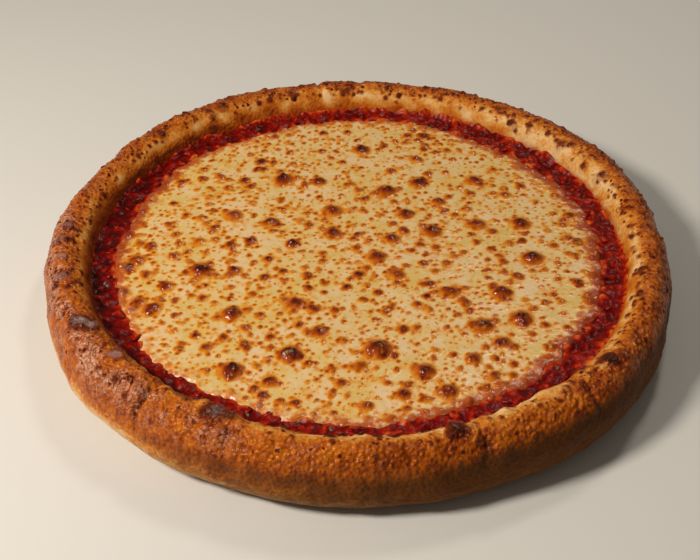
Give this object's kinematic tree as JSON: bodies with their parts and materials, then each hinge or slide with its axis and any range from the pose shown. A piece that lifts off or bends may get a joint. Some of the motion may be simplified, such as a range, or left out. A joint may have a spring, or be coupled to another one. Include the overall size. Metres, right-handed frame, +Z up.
{
  "type": "margherita pizza",
  "caption": "Whole round cheese and tomato pizza: tall puffy browned rim, a ring of crushed tomato sauce and one sheet of melted, toasted mozzarella.",
  "frame": {"origin": "middle of the flat underside, on the surface that the pizza rests on", "axes": "+Z up, out of the melted cheese; -Y towards the side seen in front; +X to the right of it"},
  "size_m": [0.28, 0.2807, 0.0331],
  "materials": {
    "baked_dough": "matte, browned and blistered",
    "crushed_tomato": "wet, lumpy",
    "melted_mozzarella": "oily sheen, toasted spots"
  },
  "bodies": {
    "root": {"crust": "baked_dough", "tomato_sauce": "crushed_tomato", "mozzarella": "melted_mozzarella"}
  },
  "joints": []
}
